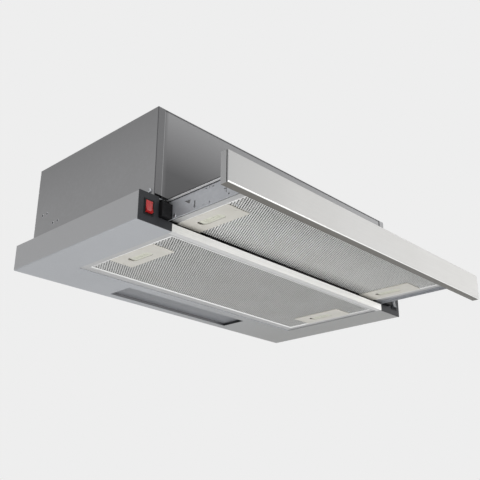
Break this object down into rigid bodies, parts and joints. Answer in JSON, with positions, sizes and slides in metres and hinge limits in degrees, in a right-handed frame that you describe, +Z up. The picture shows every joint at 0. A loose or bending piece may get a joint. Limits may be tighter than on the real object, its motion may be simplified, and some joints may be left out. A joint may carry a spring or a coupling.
{
  "type": "pull out range hood",
  "caption": "Slim pull-out range hood: flat canopy with a sliding filter drawer, tall housing with blower, duct collar, lamp window and two rocker switches.",
  "frame": {"origin": "on the underside plane, below the middle of the whole hood with its drawer drawn out as stored", "axes": "+X to the hood's right seen from the cook, +Y to the wall, +Z up"},
  "size_m": [0.6, 0.445, 0.216],
  "materials": {
    "canopy_paint": "satin powder coat",
    "housing_steel": "satin galvanised sheet",
    "fascia_steel": "brushed along its length",
    "rail_aluminium": "bright anodised",
    "cap_plastic": "fine grained",
    "black_nylon": "moulded",
    "red_plastic": "glossy, translucent",
    "grey_rocker": "glossy",
    "white_nylon": "moulded",
    "galvanised_steel": "galvanised",
    "filter_aluminium": "expanded and perforated sheet",
    "handle_plastic": "off-white, fine grained",
    "latch_plastic": "off-white",
    "lens_plastic": "frosted, translucent",
    "holder_plastic": "thermoset",
    "bulb_glass": "opal",
    "blower_plastic": "moulded",
    "bright_steel": "zinc plated",
    "motor_steel": "bare sheet",
    "winding_copper": "varnished winding",
    "bush_bronze": "sintered",
    "collar_plastic": "moulded",
    "gland_rubber": "moulded"
  },
  "bodies": {
    "hood": {"canopy": "canopy_paint", "left_side_panel": "housing_steel", "right_side_panel": "housing_steel", "front_panel": "housing_steel", "rear_panel": "housing_steel", "top_panel": "housing_steel", "front_rail": "rail_aluminium", "left_end_cap": "cap_plastic", "right_end_cap": "cap_plastic", "switch_bodies": "black_nylon", "slide_guides": "black_nylon", "microswitch": "black_nylon", "left_slide_channel": "galvanised_steel", "right_slide_channel": "galvanised_steel", "motor_bracket": "galvanised_steel", "lamp_housing": "galvanised_steel", "rear_filter_frame": "filter_aluminium", "rear_filter_mesh": "filter_aluminium", "rear_filter_core": "filter_aluminium", "rear_filter_handles": "handle_plastic", "lamp_lens": "lens_plastic", "lamp_holders": "holder_plastic", "terminal_box": "holder_plastic", "lamp_bulbs": "bulb_glass", "left_volute": "blower_plastic", "right_volute": "blower_plastic", "flap_pin": "bright_steel", "housing_screws": "bright_steel", "motor_can": "motor_steel", "capacitor": "motor_steel", "motor_stator": "winding_copper", "motor_bearings": "bush_bronze", "duct_collar": "collar_plastic", "cable_gland": "gland_rubber"},
    "drawer": {"fascia": "fascia_steel", "drawer_front": "galvanised_steel", "left_drawer_side": "galvanised_steel", "right_drawer_side": "galvanised_steel", "drawer_rear_bar": "galvanised_steel", "front_filter_frame": "filter_aluminium", "front_filter_mesh": "filter_aluminium", "front_filter_core": "filter_aluminium", "front_filter_handles": "handle_plastic"},
    "light_rocker": {"light_rocker": "red_plastic"},
    "fan_rocker": {"fan_rocker": "grey_rocker"},
    "left_guide_roller": {"left_guide_roller": "black_nylon"},
    "right_guide_roller": {"right_guide_roller": "black_nylon"},
    "left_drawer_roller": {"left_drawer_roller": "white_nylon"},
    "right_drawer_roller": {"right_drawer_roller": "white_nylon"},
    "rear_left_latch": {"rear_left_latch": "latch_plastic"},
    "rear_right_latch": {"rear_right_latch": "latch_plastic"},
    "front_left_latch": {"front_left_latch": "latch_plastic"},
    "front_right_latch": {"front_right_latch": "latch_plastic"},
    "rotor": {"impeller": "blower_plastic", "rotor_shaft": "bright_steel"},
    "front_flap": {"front_flap": "collar_plastic"},
    "rear_flap": {"rear_flap": "collar_plastic"},
    "microswitch_plunger": {"microswitch_plunger": "red_plastic"}
  },
  "joints": [
    {"name": "drawer_slide", "type": "slide", "parent": "hood", "child": "drawer", "axis": [0, 1, 0], "range_m": [0, 0.142]},
    {"name": "left_guide_roller_spin", "type": "hinge", "parent": "hood", "child": "left_guide_roller", "pos_m": [-0.2521, -0.063, 0.03492], "axis": [1, 0, 0], "continuous": true},
    {"name": "right_guide_roller_spin", "type": "hinge", "parent": "hood", "child": "right_guide_roller", "pos_m": [0.2521, -0.063, 0.03492], "axis": [1, 0, 0], "continuous": true},
    {"name": "left_drawer_roller_spin", "type": "hinge", "parent": "drawer", "child": "left_drawer_roller", "pos_m": [-0.2537, 0.0245, 0.026], "axis": [1, 0, 0], "continuous": true},
    {"name": "right_drawer_roller_spin", "type": "hinge", "parent": "drawer", "child": "right_drawer_roller", "pos_m": [0.2537, 0.0245, 0.026], "axis": [1, 0, 0], "continuous": true},
    {"name": "light_rocker_tip", "type": "hinge", "parent": "hood", "child": "light_rocker", "pos_m": [-0.2837, -0.0643, 0.0207], "axis": [1, 0, 0], "range_deg": [0, 18]},
    {"name": "fan_rocker_tip", "type": "hinge", "parent": "hood", "child": "fan_rocker", "pos_m": [0.2837, -0.0643, 0.0207], "axis": [1, 0, 0], "range_deg": [0, 18]},
    {"name": "rear_left_latch_pull", "type": "slide", "parent": "hood", "child": "rear_left_latch", "axis": [0, 1, 0], "range_m": [0, 0.005], "stiffness_N_per_m": 250, "springref_m": -0.003},
    {"name": "rear_right_latch_pull", "type": "slide", "parent": "hood", "child": "rear_right_latch", "axis": [0, 1, 0], "range_m": [0, 0.005], "stiffness_N_per_m": 250, "springref_m": -0.003},
    {"name": "front_left_latch_pull", "type": "slide", "parent": "drawer", "child": "front_left_latch", "axis": [0, 1, 0], "range_m": [0, 0.005], "stiffness_N_per_m": 250, "springref_m": -0.003},
    {"name": "front_right_latch_pull", "type": "slide", "parent": "drawer", "child": "front_right_latch", "axis": [0, 1, 0], "range_m": [0, 0.005], "stiffness_N_per_m": 250, "springref_m": -0.003},
    {"name": "rotor_spin", "type": "hinge", "parent": "hood", "child": "rotor", "pos_m": [0, 0.0365, 0.11104], "axis": [1, 0, 0], "continuous": true},
    {"name": "front_flap_swing", "type": "hinge", "parent": "hood", "child": "front_flap", "pos_m": [0, 0.0785, 0.19404], "axis": [1, 0, 0], "range_deg": [-80, 0]},
    {"name": "rear_flap_swing", "type": "hinge", "parent": "hood", "child": "rear_flap", "pos_m": [0, 0.0785, 0.19404], "axis": [1, 0, 0], "range_deg": [0, 80]},
    {"name": "microswitch_press", "type": "slide", "parent": "hood", "child": "microswitch_plunger", "axis": [0, 1, 0], "range_m": [0, 0.0015], "stiffness_N_per_m": 200, "springref_m": -0.001}
  ],
  "couplings": [
    {"joint": "left_guide_roller_spin", "follows": "drawer_slide", "rad_per_m": -166.67},
    {"joint": "right_guide_roller_spin", "follows": "drawer_slide", "rad_per_m": -166.67},
    {"joint": "left_drawer_roller_spin", "follows": "drawer_slide", "rad_per_m": 130.72},
    {"joint": "right_drawer_roller_spin", "follows": "drawer_slide", "rad_per_m": 130.72}
  ]
}
